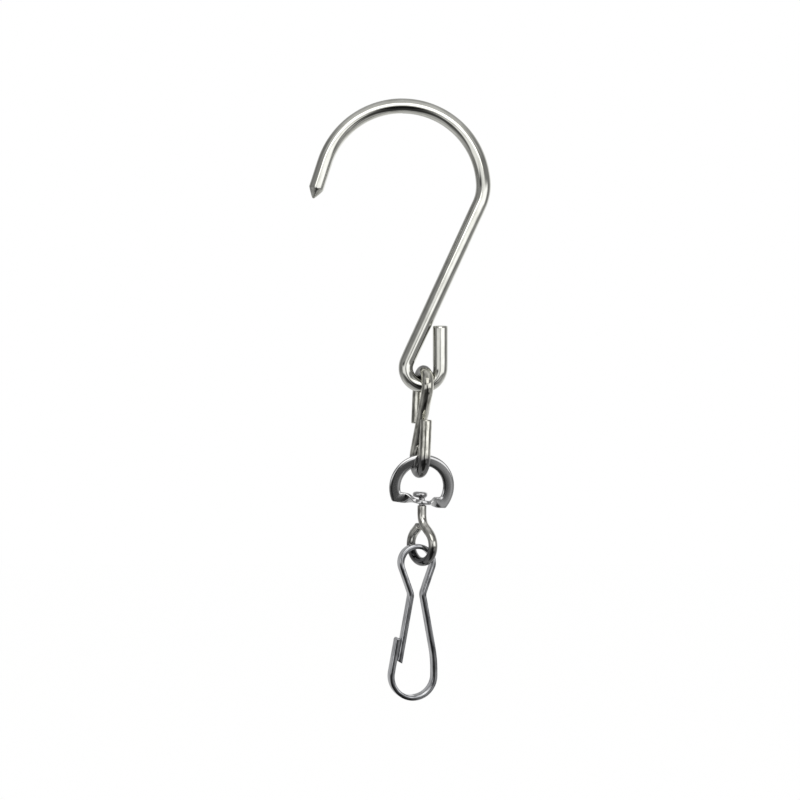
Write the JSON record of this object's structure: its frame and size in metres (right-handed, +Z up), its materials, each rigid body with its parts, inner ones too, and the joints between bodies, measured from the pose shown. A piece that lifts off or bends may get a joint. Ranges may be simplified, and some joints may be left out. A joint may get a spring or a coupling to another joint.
{
  "type": "hanging hook with swivel and spring clip",
  "caption": "Pointed wire hanging hook with a closed eye, an S link, a stamped swivel bow, a riveted swivel stem and a spring clip with a springing gate.",
  "frame": {"origin": "inside of the hook's crown, on the wire's surface, where it hangs on a rail or a nail", "axes": "+Z up along the hanging line, +X to the side of the shank's knee, away from the point, +Y away from the viewer, normal to the hook's plane"},
  "size_m": [0.0422, 0.0099, 0.1396],
  "materials": {
    "hook_wire": "bright plated wire, drawn smooth, point ground",
    "link_wire": "bright plated wire with dressed sheared ends",
    "bow_plate": "bright plated stamping with broken edges",
    "stem_wire": "bright plated wire with a riveted head",
    "clip_wire": "bright plated flattened spring wire"
  },
  "bodies": {
    "hook": {"main_hook": "hook_wire"},
    "link": {"s_link": "link_wire"},
    "bow": {"swivel_bow": "bow_plate"},
    "stem": {"swivel_stem": "stem_wire"},
    "clip": {"spring_clip": "clip_wire"},
    "gate": {"clip_gate": "clip_wire"}
  },
  "joints": [
    {"name": "link_swing", "type": "hinge", "parent": "hook", "child": "link", "pos_m": [0.00485, 0, -0.06312], "axis": [0.9554, 0.2924, -0.0417], "range_deg": [-60, 60]},
    {"name": "bow_swing", "type": "hinge", "parent": "link", "child": "bow", "pos_m": [0.00398, 0, -0.08321], "axis": [-0.2059, 0.9686, 0.1392], "range_deg": [-60, 60]},
    {"name": "stem_swivel", "type": "hinge", "parent": "bow", "child": "stem", "pos_m": [0.00461, 0.00113, -0.09011], "axis": [0, 0, 1], "continuous": true},
    {"name": "clip_swing", "type": "hinge", "parent": "stem", "child": "clip", "pos_m": [0.00336, 0.00143, -0.10419], "axis": [-0.2419, 0.9703, 0], "range_deg": [-70, 70]},
    {"name": "gate_flex", "type": "hinge", "parent": "clip", "child": "gate", "pos_m": [0.00188, 0.00106, -0.1122], "axis": [0.2419, -0.9703, 0], "range_deg": [0, 18], "stiffness_Nm_per_rad": 0.15, "springref_deg": -2.01}
  ]
}
